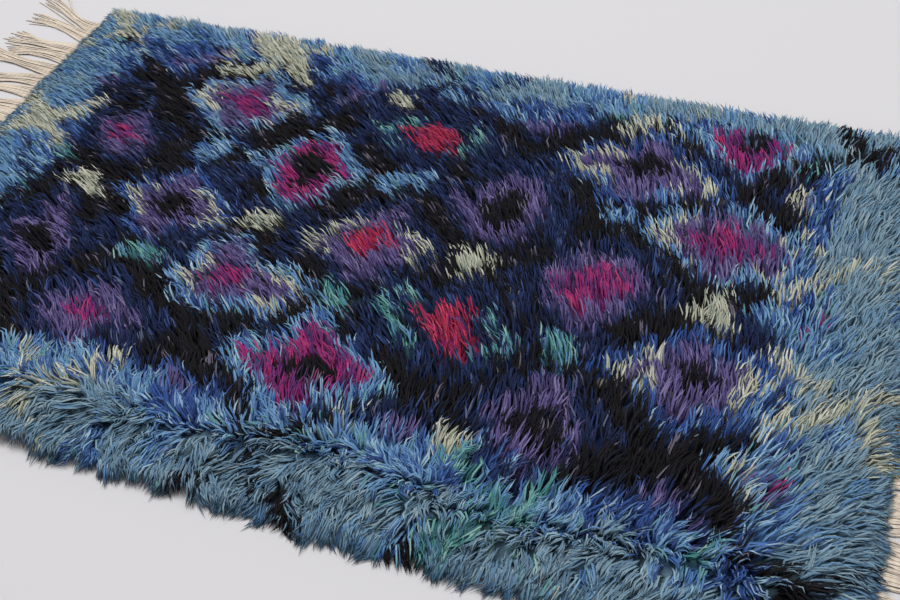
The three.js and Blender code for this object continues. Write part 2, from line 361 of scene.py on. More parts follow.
# A plain traditional ground of nested lozenges in a half-drop lattice, lost in a pale border
designSettings = {
    "pitchX": 0.430,
    "pitchY": 0.345,
    "kindSteps": (3, 5),      # how the kinds of lozenge, and of crossing, take turns
    "crossingSteps": (2, 3),
    "halfLength": 1.0,        # of the rug over its pile
    "halfWidth": 0.64,
    "pale": 0.112,            # how deep the pale rim is, and then the light band inside it
    "light": 0.178,
    "wideLeft": 0.062,        # how much deeper both are on the left, on the right and in front
    "wideRight": 0.075,
    "wideFront": 0.018,
    "whole": 0.39,            # nearer the front than this the light band has no breaks
    "ragged": 0.036,          # how far the bands' edges stray
    "wander": 0.028,          # how far an outline strays from its straight line
    "uneven": 0.09,           # how far a ring's share strays
    "stripe": 0.095,          # shares of the way from a lozenge's edge to its middle
    "trellis": 0.225,
    "outerRing": 0.385,
    "dash": 0.50,
    "innerRing": 0.70,
    "crossing": 0.165,        # the spots where four lozenges meet
    "night": 0.32,            # above this noise the ground is navy, and below it black
    "royal": 0.30,            # above this mottle the light band is royal
    "teal": -0.68,            # below this it is teal
    "breaks": -0.10,          # below this the ground shows through it, but not next to the rim
    "breakDepth": 0.016,
    "blueRim": 0.60,          # above this noise the pale rim is light blue
    "skyRim": 0.72,           # above this it is sky blue, but not at its very edge
    "skyDepth": 0.028,
    "stripeInset": (0.014, 0.10),     # where a stripe ends: from the edge, and how far that strays
    "stripeDepth": 0.02,      # how far it runs into the ground
}
# Ring, dash, inner ring and core of each kind of lozenge
lozengeKinds = [
    ("navy", "cream", "purple", "crimson"),
    ("navy", "navy", "purple", "magenta"),
    ("light", "light", "magenta", "black"),
    ("navy", "navy", "purple", "black"),
    ("light", "cream", "purple", "magenta"),
    ("navy", "teal", "navy", "crimson"),
    ("royal", "cream", "purple", "black"),
]
numbersOf = lambda names: np.array([family[name] for name in names])
lozengeRows = np.array([numbersOf(kind) for kind in lozengeKinds])
crossingKinds = numbersOf(["cream", "black", "light", "teal", "black"])
stripeKinds = numbersOf(["cream", "cream", "black", "navy", "teal", "cream", "black"])


# The family at a point. A lozenge's share is 1 - |dx| / a - |dy| / b from its nearest middle, and
# the rings are steps of that share; the bands are where the nearest edge, strayed by noise, is
# closer than their depth, and some of the lattice's own lines run out through them
def designAt(x, y):
    s = designSettings
    noise = lambda size, seed: patchNoise(x, y, size, seed)
    p = (x + s["wander"] * noise(0.07, 3)) / (s["pitchX"] / 2)
    q = (y + s["wander"] * noise(0.07, 4)) / (s["pitchY"] / 2)
    # the lozenges' middles are where p and q are both odd or both even
    along, across = (p + q) / 2, (p - q) / 2
    i, j = np.round(along), np.round(across)
    share = (1 - 2 * np.maximum(np.abs(along - i), np.abs(across - j))
             + s["uneven"] * noise(0.12, 23))
    kind = (i * s["kindSteps"][0] + j * s["kindSteps"][1]).astype(int) % len(lozengeKinds)
    fromCrossing = 1 - np.abs(along - i) - np.abs(across - j)
    meeting = (np.floor(along) * s["crossingSteps"][0]
               + np.floor(across) * s["crossingSteps"][1]).astype(int)
    found = np.where(noise(0.06, 8) > s["night"], family["navy"], family["black"])
    found = np.where(share > s["trellis"], lozengeRows[kind, 0], found)
    isDash = (share > s["outerRing"]) & (share < s["dash"]) & ((along - i) * (across - j) > 0)
    found = np.where(share > s["outerRing"], lozengeRows[kind, 2], found)
    found = np.where(isDash, lozengeRows[kind, 1], found)
    found = np.where(share > s["innerRing"], lozengeRows[kind, 3], found)
    crossing = crossingKinds[meeting % len(crossingKinds)]
    found = np.where(fromCrossing < s["crossing"], crossing, found)

    edge = np.minimum(s["halfLength"] - np.abs(x), s["halfWidth"] - np.abs(y))
    fromEnds = np.minimum(s["halfLength"] - s["wideLeft"] + x, s["halfLength"] - s["wideRight"] - x)
    fromSides = np.minimum(s["halfWidth"] - s["wideFront"] + y, s["halfWidth"] - y)
    depth = (np.minimum(fromEnds, fromSides)
             + s["ragged"] * (noise(0.11, 5) + 0.55 * noise(0.035, 6)))
    mottle = noise(0.075, 7) + 0.4 * noise(0.025, 9)
    band = np.where(mottle > s["royal"], family["royal"], family["light"])
    band = np.where(mottle < s["teal"], family["teal"], band)
    shows = (mottle < s["breaks"]) & (depth > s["pale"] + s["breakDepth"]) & (y > -s["whole"])
    found = np.where((depth < s["light"]) & ~shows, band, found)
    # the rim is bluer to the left and at the back, and pale again at the left end
    blue = (noise(0.065, 10) + 0.5 * smooth(-x, 0.1, 0.8) - 0.9 * smooth(-x, 0.86, 0.93)
            + 0.3 * smooth(y, 0.3, 0.6))
    isSky = (noise(0.09, 31) + 1.05 * smooth(-x, 0.4, 0.9) > s["skyRim"]) & (depth > s["skyDepth"])
    rim = np.where(isSky, family["sky"], family["pale"])
    rim = np.where(blue > s["blueRim"], family["light"], rim)
    found = np.where(depth < s["pale"], rim, found)
    inset, stray = s["stripeInset"]
    isStripe = ((share < s["stripe"]) & (depth < s["light"] + s["stripeDepth"])
                & (edge > inset + stray * noise(0.15, 14)))
    return np.where(isStripe, stripeKinds[meeting % len(stripeKinds)], found)


# How the pile lies: degrees from +Y towards -X at stations along X, and how it turns at the edges
lieSettings = {
    "stations": [-1.0, -0.8, -0.55, -0.2, 0.0, 0.2, 0.4, 0.6, 0.75, 0.88, 0.97],
    "degrees": [80, 77, 72, 68, 59, 43, 29, 16, 2, -15, -48],
    "near": -42,              # more towards +X near the front
    "nearFrom": (0.05, 0.52),         # of -y
    "swirl": 13,              # degrees, over patches of 11 cm
    "ruffle": 7,              # degrees, over patches of 3.5 cm
    "frontRoll": (0.048, 0.168),      # from the front wall: where the pile parts and falls outwards
    "frontWander": 0.034,
    "backRoll": (0.0, 0.06),
    "backLoss": (0.2, 0.5),   # how much of the lie, along X and Y, is lost at the back wall
    "backFall": 0.5,          # and how much it falls outwards there
    "partings": [-0.700, -0.345, 0.050, 0.455, 0.790],
    "partingLean": 0.12,      # how far a parting runs to the side for each metre inwards
    "fan": 0.22,
    "fanWidth": 0.040,
    "fanPeak": 2.33,          # brings the greatest value of its formula to 1
    "fanStray": 0.34,
    "standsUnder": (0.1, 0.75),       # the lie's size under which the pile stands up
    "tangle": (3.2, 0.16),    # where the two lies meet, and in the roll past that
}


# Unit vectors of the lie at a point, how much the pile stands up there, as on a parting ridge,
# and how tangled it is. The heading goes by stations along X, and near the front wall it gives
# way to a fall outwards. A parting's fan is its offset times a bell curve of it, so its middle
# lies straight
def lieAt(x, y):
    s = lieSettings
    noise = lambda size, seed: patchNoise(x, y, size, seed)
    degrees = np.interp(x, s["stations"], s["degrees"]) + s["near"] * smooth(-y, *s["nearFrom"])
    angle = np.radians(degrees + s["swirl"] * noise(0.11, 11) + s["ruffle"] * noise(0.035, 12))
    dx, dy = -np.sin(angle), np.cos(angle)
    fromFront = groundSettings["halfWidth"] + y
    fan = np.zeros_like(x)
    for place in s["partings"]:
        gap = (x - place - s["partingLean"] * fromFront) / s["fanWidth"]
        fan += s["fan"] * s["fanPeak"] * gap * np.exp(-gap ** 2)
    fan = fan + s["fanStray"] * noise(0.07, 13)
    stray = s["frontWander"] * (noise(0.16, 15) + 0.6 * noise(0.05, 16) + 0.5 * noise(0.024, 24))
    front = 1 - smooth(fromFront + stray * smooth(fromFront, 0, 0.06), *s["frontRoll"])
    dx, dy = dx * (1 - front) + fan * front, dy * (1 - front) - front
    back = 1 - smooth(groundSettings["halfWidth"] - y, *s["backRoll"])
    dx = dx * (1 - s["backLoss"][0] * back)
    dy = dy * (1 - s["backLoss"][1] * back) + s["backFall"] * back
    size = np.hypot(dx, dy)
    stands = 1 - smooth(size, *s["standsUnder"])
    tangled = s["tangle"][0] * front * (1 - front) + s["tangle"][1] * front
    return dx / np.maximum(size, 1e-6), dy / np.maximum(size, 1e-6), stands, tangled


# Each knot holds a few yarns: they rise, bend over along the lie and lean on each other at the tip
fieldYarn = {
    "rowPitch": 0.0172,       # between rows of knots, along X
    "knotPitch": 0.0102,      # between knots of a row, along Y
    "perKnot": 5,
    "length": 0.046,
    "radius": 0.00150,
    "gather": 0.38,           # how far a knot's tips come together
    "rise": 52,               # degrees at the root
    "rest": 4,                # degrees at the tip
    "bend": 0.20,             # radians, how far a yarn turns along its way
    "own": 0.10,              # radians, how far a yarn strays by itself
    "locks": 0.24,            # radians, how far a whole lock strays
    "settle": 0.0,            # how much of that it has lost at the tip
    "curl": 0.15,             # radians, how far a whole lock turns between root and tip
    "sway": 0.0,              # radians, how far a knot's yarns sway to both sides on their way
    "stations": [0, 0.71, 1],
    "taper": [0.95, 1.0],
    # painted shade along the yarn: darker at its root, a little lighter at its tip
    "fade": [0.86, 1.0, 1.07],
    "paintedFloorShade": 0.20,        # painted shade: how much darker a yarn is near the floor
    "paintedShadeSaturation": 2.0,            # how much more its weaker channels lose in that painted shade and at its root
}
# Towards the front and the right end the pile is looser: fewer, fuller and wavier yarns
looseYarn = {
    **fieldYarn,
    "knotPitch": 0.0112,
    "perKnot": 4,
    "length": 0.047,
    "radius": 0.00165,
    "gather": 0.45,
    "rest": 3,
    "own": 0.08,
    "locks": 0.42,
    "settle": 0.2,
    "curl": 0.42,
    "sway": 0.17,
    "stations": [0, 0.40, 0.74, 1],
    "taper": [0.9, 1.0, 0.9],
    # painted shade along the yarn: darker at its root, a little lighter at its tip
    "fade": [0.88, 0.98, 1.0, 1.04],
}
# The front of the rug, where the pile rolls over the edge and each yarn shows
rollYarn = {
    **looseYarn,
    "rowPitch": 0.0170,
    "knotPitch": 0.0106,
    "perKnot": 6,
    "length": 0.056,
    "radius": 0.00176,
    "gather": 0.55,
    "rise": 56,
    "rest": -2,
    "bend": 0.12,
    "own": 0.05,
    "locks": 0.95,
    "settle": 1.0,
    "curl": 0.95,
    "sway": 0.32,
    "stations": [0, 0.36, 0.70, 1],
    # painted shade along the yarn, and more painted shade near the floor
    "fade": [0.90, 0.98, 1.0, 1.02],
    "paintedFloorShade": 0.33,
}
knotSettings = {
    "rollDepth": 0.150,       # how far the front's own yarn reaches in
    "rimPitch": 0.0075,       # between the knots of the selvedge rows
    "rimRows": [0.0, 0.009],
    "ridgePitch": 0.0088,     # between the extra knots where the front parts
    "ridgeStart": 0.03,
    "ridgeStands": 0.5,       # they fill in where the pile stands up more than this
    "disorder": 0.4,          # of a pitch
    "corner": 0.055,
    "margin": 0.008,          # the last knots stand this far inside the wall
    "drawnIn": [(0.008, -0.05, 0.05), (0.012, 0.28, 0.42)],    # the front edge, in steps of -x
    "drawnFrom": (0.3, 0.6),          # of -y
    "looseFront": (0.06, 0.24),       # of -y and of x: where the field's yarn gives way to loose
    "looseRight": (0.32, 0.58),
    "softTop": 0.036,         # above this the pile is pressed down, and never past the top
    "top": 0.0480,
    "press": 0.6,
}


# How far the last knots stand from the middle, along X and Y
def knotReach(s):
    return groundSettings["halfLength"] - s["margin"], groundSettings["halfWidth"] - s["margin"]


# Places of the knots: rows over the rug with a little disorder, two close rows along each side,
# and more knots under the ridge of the front. Which are kept depends on the zone: the front's
# knots end at rollDepth, and the loose ones give way to the field's by chance
def placeKnots(s, yarn, zone, random):
    reachX, reachY = knotReach(s)
    rows, knots = round(2 * reachX / yarn["rowPitch"]), round(2 * reachY / yarn["knotPitch"])
    fieldX, fieldY = np.meshgrid(np.linspace(-reachX, reachX, rows),
                                 np.linspace(-reachY, reachY, knots), indexing="ij")
    sideX, sideRow = np.meshgrid(np.arange(-reachX, reachX, s["rimPitch"]), s["rimRows"])
    endY, endRow = np.meshgrid(np.arange(-reachY, reachY, s["rimPitch"]), s["rimRows"])
    fromFront = np.arange(s["ridgeStart"], s["rollDepth"], s["ridgePitch"])
    ridgeX, ridgeY = np.meshgrid(np.arange(-reachX, reachX, s["ridgePitch"]), fromFront - reachY)
    onRidge = lieAt(ridgeX, ridgeY)[2] > s["ridgeStands"]
    sets = [(fieldX, fieldY), (sideX, sideRow - reachY), (sideX, reachY - sideRow),
            (endRow - reachX, endY), (reachX - endRow, endY), (ridgeX[onRidge], ridgeY[onRidge])]
    x, y = [np.concatenate([places[axis].ravel() for places in sets]) for axis in (0, 1)]
    loose = np.maximum(smooth(-y, *s["looseFront"]), smooth(x, *s["looseRight"]))
    isLoose = random.uniform(0, 1, x.shape) < loose
    isFront = y < s["rollDepth"] - reachY
    kept = {"front": isFront, "loose": ~isFront & isLoose, "field": ~isFront & ~isLoose}[zone]
    stray = s["disorder"]
    x = x[kept] + random.uniform(-stray, stray, kept.sum()) * yarn["rowPitch"]
    y = y[kept] + random.uniform(-stray, stray, kept.sum()) * yarn["knotPitch"]
    x, y = np.clip(x, -reachX, reachX), np.clip(y, -reachY, reachY)
    # the front edge draws in a little to the left, in two steps
    drawn = sum(size * smooth(-x, low, high) for size, low, high in s["drawnIn"])
    y = y + drawn * smooth(-y, *s["drawnFrom"])
    # knots outside the quarter circle of a corner are drawn onto it
    outX = np.maximum(np.abs(x) - reachX + s["corner"], 0)
    outY = np.maximum(np.abs(y) - reachY + s["corner"], 0)
    over = np.maximum(np.hypot(outX, outY) / s["corner"], 1)
    return x - np.sign(x) * outX * (1 - 1 / over), y - np.sign(y) * outY * (1 - 1 / over)


# How knots and their yarns differ
growSettings = {
    "knotStray": 0.8,         # of a yarn's own stray
    "ridgeStray": (0.25, 1.2),        # radians more on the front's ridge, by knot and by patch
    "lockStray": (0.5, 0.8),  # of a lock's stray: where the pile is neat, and more when tangled
    "lift": (0.6, 1.6),       # of a knot, by itself and by patch
    "ownTurn": 0.6,           # of the yarn's bend
    "pivot": 0.35,            # share of its way where a turning yarn crosses the lie
    "swayRate": 6,            # radians along a yarn
    "swayStart": (5, 0.4),    # by patch and by yarn
    "backReach": 0.055,       # from the back wall: these knots stand up
    "rise": (6, 7),           # degrees at the root, for a knot's lift and by yarn
    "rest": (4, 5),           # the same at the tip
    "ridge": (22, 46),        # degrees more on the ridge, at the root and at the tip
    "back": (12, 20),         # the same at the back wall
    "tangledRest": 4,
    "settling": 1.6,          # how soon a yarn comes to rest
    "length": (0.08, 0.11),   # by knot and by yarn
    "lockLength": 0.10,
    "ridgeShorter": 0.38,
    "rootDepth": 0.002,
    "backHeld": 0.6,          # how far a yarn of the back wall keeps its root's height
    "overWall": (0.82, 0.036),        # how much of its lift a yarn loses past the wall, by where
    "thickness": (0.13, 0.7, 1.4),    # spread, least and most
    "thin": (0.12, 0.62),     # how many yarns are thin, and how thin
    "tip": 0.25,              # of the radius
    "floorGap": 0.0006,
    "fringeGap": (0.002, 0.0056),     # past the slab's end a yarn lies on the fringe's band
}


# Points of the yarns' middles (yarns, stations, 3). On the plan a yarn's way is the sum of
# cos(elevation) times its heading, and its height is the bed's plus the sum of sin(elevation)
def growPile(s, knotX, knotY, random):
    g = growSettings
    knot = np.repeat(np.arange(len(knotX)), s["perKnot"])
    total = len(knot)
    byPatch = lambda size, seed: patchNoise(knotX, knotY, size, seed)
    byKnot = lambda spread: random.normal(0, spread, knotX.shape)
    byYarn = lambda spread: random.normal(0, spread, total)
    reachX, reachY = knotReach(knotSettings)
    spread = random.uniform(-0.5, 0.5, (total, 2))
    rootX = np.clip(knotX[knot] + spread[:, 0] * s["rowPitch"], -reachX, reachX)
    rootY = np.clip(knotY[knot] + spread[:, 1] * s["knotPitch"], -reachY, reachY)

    lieX, lieY, stands, tangled = lieAt(knotX, knotY)
    knotStray = g["knotStray"] * s["own"] + g["ridgeStray"][0] * stands
    heading = (np.arctan2(lieY, lieX) + byKnot(1) * knotStray
               + g["ridgeStray"][1] * stands * byPatch(0.024, 26))
    neat, more = g["lockStray"]
    lockStray = s["locks"] * byPatch(0.027, 17) * (neat + more * tangled)
    lockCurl = s["curl"] * byPatch(0.019, 19)
    knotLift = (g["lift"][0] * byKnot(1) + g["lift"][1] * byPatch(0.021, 20))[knot]
    knotLong = byKnot(1) * (1 + tangled)
    steps = np.diff(s["stations"])
    middles = (np.array(s["stations"][:-1]) + np.array(s["stations"][1:])) / 2

    # heading and elevation at each step's middle
    turn = (byKnot(s["bend"]) + lockCurl)[knot] + byYarn(g["ownTurn"] * s["bend"])
    ofPatch, ofYarn = g["swayStart"]
    phase = (ofPatch * byPatch(0.018, 25))[knot] + byYarn(ofYarn)
    way = ((heading[knot] + byYarn(s["own"]))[:, None]
           + turn[:, None] * (middles - g["pivot"]) * 2
           + lockStray[knot][:, None] * (1 - s["settle"] * middles)
           + s["sway"] * np.sin(g["swayRate"] * middles + phase[:, None]))
    # the far edge stands up where nothing lies over it
    atBack = (1 - smooth(groundSettings["halfWidth"] - knotY, 0, g["backReach"]))[knot]
    onRidge = stands[knot]
    rise = (s["rise"] + g["rise"][0] * knotLift + byYarn(g["rise"][1])
            + g["ridge"][0] * onRidge + g["back"][0] * atBack)
    rest = (s["rest"] + g["rest"][0] * knotLift + byYarn(g["rest"][1])
            + g["ridge"][1] * onRidge + g["back"][1] * atBack
            + g["tangledRest"] * tangled[knot] * byYarn(1))
    settling = (1 - middles) ** g["settling"]
    elevation = np.radians(rest[:, None] + (rise - rest)[:, None] * settling)
    lockLong = g["lockLength"] * byPatch(0.024, 18) - g["ridgeShorter"] * stands
    length = s["length"] * (1 + g["length"][0] * knotLong[knot] + byYarn(g["length"][1])
                            + lockLong[knot])
    run = length[:, None] * steps
    summed = lambda part: np.hstack([np.zeros((total, 1)), np.cumsum(run * part, 1)])
    planX = rootX[:, None] + summed(np.cos(elevation) * np.cos(way))
    planY = rootY[:, None] + summed(np.cos(elevation) * np.sin(way))
    lift = summed(np.sin(elevation)) - g["rootDepth"]

    # the tips gather on the knot's own line
    pull = s["gather"] * np.array(s["stations"]) ** 2
    planX = planX + pull * (knotX[knot] - rootX)[:, None]
    planY = planY + pull * (knotY[knot] - rootY)[:, None]

    held = g["backHeld"] * atBack[:, None]
    base = bedHeight(planX, planY) * (1 - held) + bedHeight(rootX, rootY)[:, None] * held
    lost, within = g["overWall"]
    height = base + lift * (1 - (lost - held) * smooth(pastWall(planX, planY), 0, within))
    room = knotSettings["top"] - knotSettings["softTop"]
    over = np.maximum(height - knotSettings["softTop"], 0)
    height = height - over + room * np.tanh(knotSettings["press"] * over / room)
    spread, least, most = g["thickness"]
    radius = s["radius"] * np.clip(1 + byYarn(spread), least, most)
    often, thin = g["thin"]
    radius = radius * np.where(random.uniform(0, 1, total) < often, thin, 1.0)
    pastEnd, bandTop = g["fringeGap"]
    overBand = np.abs(planX) > groundSettings["halfLength"] + pastEnd
    floorLevel = np.where(overBand, bandTop, g["floorGap"])
    height = np.maximum(height, floorLevel + radius[:, None] * np.array(s["taper"] + [g["tip"]]))
    return np.stack([planX, planY, height], 2), radius, knot, length


# How the yarns were dyed, and where the painted shade near the floor fades
dyeAndShadeSettings = {
    "stray": 0.0065,          # how far a yarn's colour strays over a border of the design
    "oneSkein": 0.6,          # how many yarns of a knot are of one skein
    "uneven": 0.045,          # how unevenly the dye took
    "washed": 0.12,           # how far a yarn has greyed, at most
    "shadow": (0.002, 0.026),         # heights between which the painted shade near the floor fades
}


# Which yarn of its family each one is, drawn by its share, with a little uneven dyeing
def dyePile(s, points, knot, random):
    total = len(points)
    stray = random.normal(0, s["stray"], (total, 2))
    families = designAt(points[:, 0, 0] + stray[:, 0], points[:, 0, 1] + stray[:, 1])
    draw = random.uniform(0, 1, total)
    shared = random.uniform(0, 1, knot.max() + 1)[knot]
    draw = np.where(random.uniform(0, 1, total) < s["oneSkein"], shared, draw)
    skein = np.minimum((draw[:, None] > yarnShares[families]).sum(1), mostYarns - 1)
    colours = yarnColours[families, skein]
    tone = np.exp(random.normal(0, s["uneven"], total))[:, None]
    grey = colours.mean(1, keepdims=True)
    wash = random.uniform(0, s["washed"], total)[:, None]
    return (colours * (1 - wash) + grey * wash) * tone


# A tube round each middle line, to a point, in the yarns' colours
def spinYarns(name, points, radius, length, colours, s):
    total, rings = len(points), len(s["taper"])
    shell = ringsRound(points, radius[:, None] * np.array(s["taper"] + [0]))[:, :rings]
    vertices = np.concatenate([shell.reshape(total, rings * sides, 3), points[:, -1:, :]], 1)
    quads, quadPlaces = tubeQuads(rings)
    last, tip = (rings - 1) * sides, rings * sides
    tris = [[last + c, last + (c + 1) % sides, tip] for c in range(sides)] + [[0, 2, 1]]
    triPlaces = [(c + step, rings - 1 + up) for c in range(sides)
                 for step, up in ((0, 0), (1, 0), (0.5, 1))]
    triPlaces += [(0, -0.3), (2, -0.3), (1, -0.05)]
    piece = meshObject(name, vertices.reshape(-1, 3),
                       [onEach(quads, total, tip + 1), onEach(tris, total, tip + 1)])

    # Painted shade: the colour is darker towards the root, where the yarns shade each other, and
    # near the floor, and a little lighter at the tip. Light that has been thrown from yarn to yarn
    # is more of their colour, so in this painted shade a channel below the highest loses more
    lit = smooth(points[:, :, 2], *dyeAndShadeSettings["shadow"])
    fade = np.array(s["fade"])[None] * (1 - s["paintedFloorShade"] * (1 - lit))
    fade = np.concatenate([np.repeat(fade[:, :-1], sides, axis=1), fade[:, -1:]], 1)
    power = 1 + s["paintedShadeSaturation"] * (1 - colours / colours.max(1, keepdims=True))
    addColours(piece, (colours[:, None, :] * fade[:, :, None] ** power[:, None, :]).reshape(-1, 3))

    # round the yarn and along it: once in centimetres, and once in a square of its own, with a
    # margin and room for the root's end
    grid = math.ceil(math.sqrt(total))
    cell = np.stack([np.arange(total) % grid, np.arange(total) // grid], 1)[:, None, :]
    spun, packed = [], []
    for places in (quadPlaces, triPlaces):
        place = np.array(places, float)[None]
        stations = np.interp(place[:, :, 1], range(len(s["stations"])), s["stations"])
        spun.append(inCentimetres(place[:, :, 0], stations * length[:, None]))
        inCell = [0.06 + 0.88 * place[:, :, 0] / sides, 0.16 + 0.78 * place[:, :, 1] / rings]
        packed.append(((cell + np.stack(inCell, 2)) / grid).reshape(-1, 2))
    addMap(piece, "yarnMap", np.concatenate(spun))
    addMap(piece, "OFBake", np.concatenate(packed))
    return piece


# The yarns' own colour, shaded from low to high by a pattern that comes as (node, output name)
def shadedColour(tree, pattern, low, high):
    colour = addNode(tree, "ShaderNodeAttribute", {"attribute_name": "yarnColour"})
    shade = addNode(tree, "ShaderNodeMapRange", Value=pattern, To_Min=low, To_Max=high)
    return addNode(tree, "ShaderNodeVectorMath", {"operation": "SCALE"},
                   i0=(colour, "Color"), Scale=(shade, "Result"))


# The face of a plied yarn: its colour, shaded by a wave that runs round it and along it, with a
# low relief. Light scatters in its fibres, so it shades less than a hard rod: its normal leans up
def pliedFace(tree, shader, stretch, waver, shades, lean, relief):
    place = addNode(tree, "ShaderNodeUVMap", {"uv_map": "yarnMap"})
    turned = addNode(tree, "ShaderNodeMapping", Vector=(place, "UV"), Scale=(1, stretch, 1))
    plies = addNode(tree, "ShaderNodeTexWave",
                    {"bands_direction": "DIAGONAL", "wave_profile": "SIN"},
                    Vector=(turned, "Vector"), Scale=0.62, Distortion=waver)
    tinted = shadedColour(tree, (plies, "Fac"), *shades)
    face = addNode(tree, "ShaderNodeNewGeometry")
    leaned = addNode(tree, "ShaderNodeVectorMath", {"operation": "ADD"},
                     i0=(face, "Normal"), i1=(0, 0, lean))
    softened = addNode(tree, "ShaderNodeVectorMath", {"operation": "NORMALIZE"},
                       i0=(leaned, "Vector"))
    bump = addNode(tree, "ShaderNodeBump", Strength=relief, Distance=0.0006,
                   Height=(plies, "Fac"), Normal=(softened, "Vector"))
    setSockets(tree, shader, Base_Color=(tinted, "Vector"), Normal=(bump, "Normal"))
    return tinted


# Carded wool, two plies spun together and cut: matt, with soft light at its rim and a fine
# twist. The plies turn once in 7 mm, since the real 4 mm would not show
def woolMaterial():
    material, tree, shader = newMaterial("pliedRyaWool")
    tinted = pliedFace(tree, shader, stretch=1.4, waver=0.6, shades=(0.94, 1.05), lean=1.5,
                       relief=0.25)
    setSockets(tree, shader, Roughness=0.9, Specular_IOR_Level=0.14,
               Sheen_Weight=0.4, Sheen_Roughness=0.55, Sheen_Tint=(tinted, "Vector"))
    return material


random = np.random.default_rng(41)
pileWool = woolMaterial()
pilePieces = []
for zone, yarn in (("field", fieldYarn), ("loose", looseYarn), ("front", rollYarn)):
    knotX, knotY = placeKnots(knotSettings, yarn, zone, random)
    yarnPoints, yarnRadius, yarnKnot, yarnLength = growPile(yarn, knotX, knotY, random)
    yarnDye = dyePile(dyeAndShadeSettings, yarnPoints, yarnKnot, random)
    # two pieces of each, the left half and the right
    for part in np.array_split(np.argsort(yarnPoints[:, 0, 0], kind="stable"), 2):
        piece = spinYarns("pileYarn" + str(len(pilePieces) + 1), yarnPoints[part], yarnRadius[part],
                          yarnLength[part], yarnDye[part], yarn)
        piece.data.materials.append(pileWool)
        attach(piece, "root")
        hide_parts("pile_slab")
        pilePieces.append(piece)
    print("pile made:", zone, len(yarnPoints), "yarns")


# The lower pile, packed too tight to see between: a lumpy bed over the woven ground
bedSettings = {
    "halfLength": 0.955,
    "halfWidth": 0.592,
    "corner": 0.026,
    "stepsX": 98,
    "stepsY": 60,
    "bottom": 0.0032,
    "leastHeight": 0.0008,    # over that
    "lump": 0.0012,           # in patches of 12 mm
    "shade": 0.60,            # painted shade: of the yarn's own colour, since it lies in shadow
    "mottle": 0.5,            # of that, in patches of 6 mm
}


# A grid over the rug at the bed's height with fine lumps, its corners drawn in to a quarter
# circle; a foot ring below its rim and one flat face close it
def makeBed(s):
    x, y, quads, rim = makeGrid(s)
    overX = np.maximum(np.abs(x) - s["halfLength"] + s["corner"], 0) / s["corner"]
    overY = np.maximum(np.abs(y) - s["halfWidth"] + s["corner"], 0) / s["corner"]
    x = x - np.sign(x) * s["corner"] * overX * (1 - np.sqrt(1 - overY ** 2 / 2))
    y = y - np.sign(y) * s["corner"] * overY * (1 - np.sqrt(1 - overX ** 2 / 2))
    z = bedHeight(x, y) + s["lump"] * patchNoise(x, y, 0.012, 21)
    z = np.maximum(z, s["bottom"] + s["leastHeight"])
    top = np.stack([x, y, z], 2).reshape(-1, 3)
    foot = top[rim] * [1, 1, 0] + [0, 0, s["bottom"]]
    footIndex = np.arange(len(rim)) + len(top)
    wall = np.stack([rim, footIndex, np.roll(footIndex, -1), np.roll(rim, -1)], 1)
    points = np.concatenate([top, foot])
    piece = meshObject("pileBed", points, [quads, wall, footIndex[::-1][None]])
    piece.data.polygons.foreach_set("use_smooth", np.arange(len(quads) + len(rim) + 1) < len(quads))
    x, y = points[:, 0], points[:, 1]
    shade = s["shade"] * (1 + s["mottle"] * patchNoise(x, y, 0.006, 22))
    commonest = yarnColours[:, :3].mean(1)
    addColours(piece, commonest[designAt(x, y)] * shade[:, None])
    return piece


# The same wool seen between the yarns: matt, and painted dark since it lies in shadow
def bedMaterial():
    material, tree, shader = newMaterial("packedRyaWool")
    place = addNode(tree, "ShaderNodeTexCoord")
    # yarn ends 4 mm apart
    tufts = addNode(tree, "ShaderNodeTexNoise", Vector=(place, "Object"), Scale=240.0, Detail=2.0)
    tinted = shadedColour(tree, (tufts, "Fac"), 0.4, 1.5)
    bump = addNode(tree, "ShaderNodeBump", Strength=0.8, Distance=0.002, Height=(tufts, "Fac"))
    setSockets(tree, shader, Base_Color=(tinted, "Vector"), Normal=(bump, "Normal"),
               Roughness=0.95, Specular_IOR_Level=0.1)
    return material


bed = makeBed(bedSettings)
bed.data.materials.append(bedMaterial())
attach(bed, "root")
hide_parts("pile_slab")
print("bed made")


# The warp ends: cords that leave the woven band, gather in bunches and lie loose on the floor
fringeSettings = {
    "bandStart": 0.9643,
    "bandDepth": 0.014,
    "bandHalf": 0.591,
    "bandHeight": 0.0034,
    "bandMargin": 0.005,      # without cords, at both its ends
    "floorGap": 0.0003,
    "bunches": 25,
    "perBunch": 16,
    "rootSpread": 0.0007,
    "inBand": 0.006,          # how far the cords start inside the band
    "length": 0.204,
    "lengthSpread": (0.07, 0.06),     # by bunch and by cord
    "radius": 0.0018,
    "radiusSpread": 0.08,
    "tipThinner": 0.45,
    "gather": 0.43,           # how far a bunch closes up at its narrowest
    "closes": (0.02, 0.52),   # the shares of the way between which it closes, and opens again
    "opens": (0.60, 1.0),
    "opened": 0.9,
    "bow": (0.010, 0.016),    # how far a bunch bows midway, and bends by its tip
    "wave": 0.0026,           # of a cord by itself
    "waveRate": 7,            # radians
    "tipSpread": 0.009,
    "splay": 0.065,           # how far the outermost bunches lean out
    "splayFrom": (0.42, 0.60),
    "layers": 3,
    "layerHeight": 0.0013,
    "steps": 8,
    "cordColour": "#d8c9b7",
    "bandColour": "#c9baa3",
    "uneven": (0.05, 0.06),   # by cord, and along it
}


